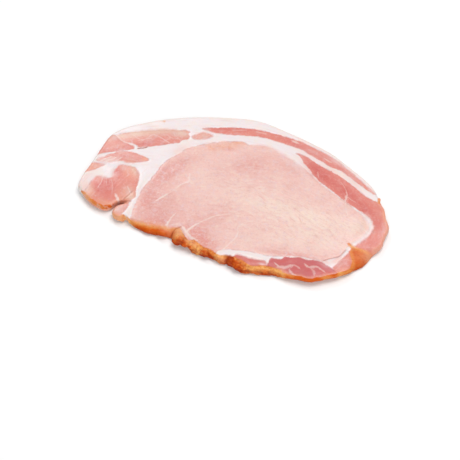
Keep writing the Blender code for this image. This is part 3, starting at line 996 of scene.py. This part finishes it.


# Smoke colour of the browned edge, with painted light: a painted highlight of gold on what stands out,
# and painted shade of brown in the hollows, in the gaps between crumbs and low on the rim.
def smokeGroup(colours):
    group, given, result = newGroup(
        "smokedCrust",
        {"Vector": "Place Fibre", "Float": "Crag Flaky Gold Rust Tongue Inside Drop"},
        {"Color": "Color", "Float": "Height"})
    place, inside = given["Place"], given["Inside"]
    # the rims of the crumb cells: darker as painted shade in the gaps between crumbs, and lower in the
    # bump
    cells = {"Vector": place, "Scale": 0.75, "Detail": 1.0, "Randomness": 1.0}
    crumb = put(group, "ShaderNodeTexVoronoi", cells).outputs["Distance"]
    crumb = times(group, stepUp(group, crumb, 0.35, 0.75), given["Flaky"])
    small = timesPlus(group, crumb, -0.12, spotty(group, place, 0.9, 4.0, 0.65))
    flake = times(group, given["Crag"], given["Flaky"])
    # painted shade of brown: in the hollows of the flakes, in the crumb gaps and low on the rim,
    # together with the rust-brown spots
    brownAndShade = summed(group, [
        stepUp(group, flake, 0.0, -0.4, 0.0, 0.6),
        stepUp(group, small, 0.42, 0.25, 0.0, 0.35),
        # painted shade, browner low on the rim
        times(group, given["Drop"], 0.5),
        times(group, given["Rust"], 0.9),
    ])
    along = stretched(group, given["Fibre"], (0.15, 0.7, 0.3))
    # a painted highlight of gold on the raised flakes, together with the golden spots of the smoked
    # colour
    goldAndHighlight = summed(group, [
        stepUp(group, flake, 0.2, 0.55, 0.0, 0.35),
        given["Gold"],
        wander(group, place, 0.35, 3.0, 0.6, 0.5),
        wander(group, along, 1.0, 3.0, 0.6, 0.7),
        stepUp(group, inside, -0.8, 0.2, 0.0, 0.4),
        stepUp(group, inside, 0.6, 2.8, 0.0, -0.4),
        times(group, given["Rust"], -0.5),
    ])
    goldAndHighlight = times(group, goldAndHighlight, stepUp(group, small, 0.3, 0.5, 0.6))
    goldAndHighlight = calc(group, "MAXIMUM", goldAndHighlight, 0.0)
    colour = layered(group, colours["smokeOrange"], colours, [
        (calc(group, "MINIMUM", brownAndShade, 1.0), "smokeBrownAndShade"),
        (calc(group, "MINIMUM", goldAndHighlight, 1.0), "smokeGoldAndHighlight"),
        (times(group, given["Tongue"], stepUp(group, small, 0.3, 0.5, 0.6, 0.95)), "tongue"),
    ])
    deliver(group, result, {"Color": colour, "Height": small})
    return group


def field(tree, name, output="Fac"):
    return put(tree, "ShaderNodeAttribute", attribute_name=name).outputs[output]


def share(tree, name, amount):
    return times(tree, field(tree, name), amount)


def leanColour(tree, colours, place, grain):
    depth = field(tree, "depth")
    long, fine, grit, mottle = (grain[name] for name in ("Long", "Fine", "Grit", "Mottle"))
    creamy = stepUp(tree, long, 0.36, 0.6, 0.45)
    pale = layered(tree, colours["eyePale"], colours, [
        (field(tree, "pink"), "eyePink"),
        (field(tree, "rose"), "eyeRose"),
        # painted sheen across the middle of the eye, streaked along the fibres
        (times(tree, field(tree, "cream"), creamy), "eyeCreamAndSheen"),
    ])
    marbled = stepUp(tree, mottle, 0.34, 0.56, 0.55)
    dark = layered(tree, colours["muscle"], colours, [
        (stepUp(tree, depth, 0.7, 1.0), "belly"),
        (times(tree, field(tree, "deep"), marbled), "core"),
    ])
    lean = mixed(tree, stepUp(tree, depth, 0.05, 0.6), pale, dark)
    worn = stepUp(tree, long, 0.34, 0.6, 0.5)
    paleness = timesPlus(tree, depth, -0.95, 1.0)
    streaky = times(tree, paleness, timesPlus(tree, field(tree, "streaky"), 0.6, 0.2))
    tint = stepUp(tree, spotty(tree, place, 0.42, 3.0, 0.7), 0.5, 0.68, 0.0, 0.5)
    side = stepUp(tree, field(tree, "edge"), 2.4, 0.0, 0.0, 0.6)
    meaty = calc(tree, "SUBTRACT", 1.0, field(tree, "rind"))
    return layered(tree, lean, colours, [
        (share(tree, "warm", 0.75), "peach"),
        (share(tree, "beige", 0.9), "beige"),
        (times(tree, field(tree, "faded"), worn), "fatRose"),
        (times(tree, stepUp(tree, mottle, 0.52, 0.7, 0.0, 0.4), paleness), "eyeCreamAndSheen"),
        (stepUp(tree, mottle, 0.48, 0.3, 0.0, 0.22), "shadeStreak"),
        (times(tree, stepUp(tree, fine, 0.48, 0.68), streaky), "glint"),
        (times(tree, stepUp(tree, fine, 0.46, 0.3, 0.0, 0.42), streaky), "shadeStreak"),
        (times(tree, tint, paleness), "lavender"),
        (times(tree, stepUp(tree, grit, 0.53, 0.7, 0.0, 0.45), paleness), "glint"),
        (stepUp(tree, grit, 0.47, 0.3, 0.0, 0.28), "shadeStreak"),
        (times(tree, side, meaty), "peach"),
    ])


def fatColour(tree, colours, place):
    along = stretched(tree, field(tree, "fibre", "Vector"), (0.08, 0.9, 0.3))
    lines = spotty(tree, along, 1.0, 3.0, 0.6)
    return layered(tree, colours["fat"], colours, [
        (stepUp(tree, spotty(tree, place, 0.12, 3.0), 0.45, 0.65), "fatWarm"),
        (stepUp(tree, lines, 0.52, 0.74, 0.0, 0.5), "fatRose"),
        (share(tree, "rose", 0.9), "eyePale"),
        (field(tree, "butter"), "butter"),
        (share(tree, "rind", 0.7), "rind"),
    ])


def seamMask(tree, place):
    near = stepUp(tree, calc(tree, "ABSOLUTE", field(tree, "lean")), 0.1, 0.7)
    seam = calc(tree, "SUBTRACT", 1.0, near)
    seam = times(tree, seam, stepUp(tree, field(tree, "soft"), 0.5, 0.1))
    return times(tree, seam, stepUp(tree, spotty(tree, place, 0.2), 0.42, 0.62, 0.0, 0.5))


def veinMask(tree, place):
    across = plus(tree, calc(tree, "ABSOLUTE", field(tree, "veinAcross")),
                  wander(tree, place, 0.9, 3.0, 0.5, 2.4))
    vein = times(tree, stepUp(tree, across, 1.9, 0.1),
                 stepUp(tree, field(tree, "veinNear"), 1.8, 0.8))
    return times(tree, vein, field(tree, "veinPower"))


# The moist skin of the meat, with lengths in metres.
skin = {
    "Subsurface Weight": 0.22,
    "Subsurface Radius": (1.0, 0.35, 0.22),
    "Subsurface Scale": 0.0016,
    "Specular IOR Level": 0.08,
    "Coat Roughness": 0.2,
}
grainBump = {"Strength": 0.7, "Distance": 0.0003}


def meatMaterial():
    meat = bpy.data.materials.new("moistBacon")
    meat.use_nodes = True
    tree = meat.node_tree
    shader = tree.nodes["Principled BSDF"].inputs
    colours = {name: toLight(value) for name, value in meatColours.items()}
    place = stretched(tree, put(tree, "ShaderNodeTexCoord").outputs["Object"], (1000, 1000, 1000))
    fibre = field(tree, "fibre", "Vector")
    soft = field(tree, "soft")
    ragged = raggedGroup()
    grain = useGroup(tree, fibreGroup(), {"Fibre": fibre, "Place": place})

    leanMask = useGroup(tree, ragged, {
        "Distance": field(tree, "lean"), "Place": place, "Fibre": fibre, "Ragged": 1.0,
        "Fingers": timesPlus(tree, soft, 0.7, 0.12), "Soft": timesPlus(tree, soft, 1.5, 0.3),
    })["Mask"]
    base = mixed(tree, leanMask, fatColour(tree, colours, place),
                 leanColour(tree, colours, place, grain))
    lines = [(seamMask(tree, place), "seam"), (veinMask(tree, place), "vein")]
    base = layered(tree, base, colours, lines)

    # smoke
    height = put(tree, "ShaderNodeSeparateXYZ", {"Vector": place}).outputs["Z"]
    crust = useGroup(tree, smokeGroup(colours), {
        "Place": place, "Fibre": fibre, "Crag": field(tree, "crag"),
        "Flaky": field(tree, "flaky"), "Gold": field(tree, "golden"),
        "Rust": field(tree, "rust"), "Tongue": field(tree, "tongue"),
        # painted shade: browner on the rim below 3.4 mm, in full at 0.6 mm
        "Inside": field(tree, "patch"), "Drop": stepUp(tree, height, 3.4, 0.6),
    })
    rimSmoke = plus(tree, field(tree, "smoke"), wander(tree, place, 0.7, 3.0, 0.5, 0.6))
    patch = useGroup(tree, ragged, {
        "Distance": field(tree, "patch"), "Place": place, "Fibre": fibre, "Ragged": 0.9,
        "Fingers": 0.0, "Soft": timesPlus(tree, soft, 2.2, 0.4),
    })["Mask"]
    smoke = calc(tree, "MAXIMUM", stepUp(tree, rimSmoke, 0.2, 0.75), patch)
    base = mixed(tree, smoke, base, crust["Color"])
    # painted shade in the creases and folds
    base = mixed(tree, share(tree, "crease", 0.75), base, colours["crease"])

    # moist skin
    rough = stepUp(tree, spotty(tree, place, 0.5, 3.0), 0.35, 0.65, 0.3, 0.5)
    relief = timesPlus(tree, grain["Fine"], 0.3, times(tree, grain["Grit"], 0.6))
    relief = timesPlus(tree, spotty(tree, place, 2.2, 3.0, 0.6), 0.5, relief)
    relief = timesPlus(tree, times(tree, crust["Height"], smoke), 1.5, relief)
    bump = put(tree, "ShaderNodeBump", {"Height": relief, **grainBump})
    deliver(tree, shader, {
        "Base Color": base, "Roughness": rough, "Normal": bump.outputs["Normal"],
        "Coat Weight": stepUp(tree, smoke, 0.0, 1.0, 0.42, 0.05),
    })
    for name, value in skin.items():
        shader[name].default_value = value
    return meat


def tidyNodes(tree):
    for k, made in enumerate(tree.nodes):
        made.location = (-220 * (k // 8), -180 * (k % 8))


baconRasher.data.materials.clear()
baconRasher.data.materials.append(meatMaterial())
for group in [*bpy.data.node_groups, baconRasher.data.materials[0].node_tree]:
    tidyNodes(group)
print("meat material made")

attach(baconRasher, "root")
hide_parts("rasher")
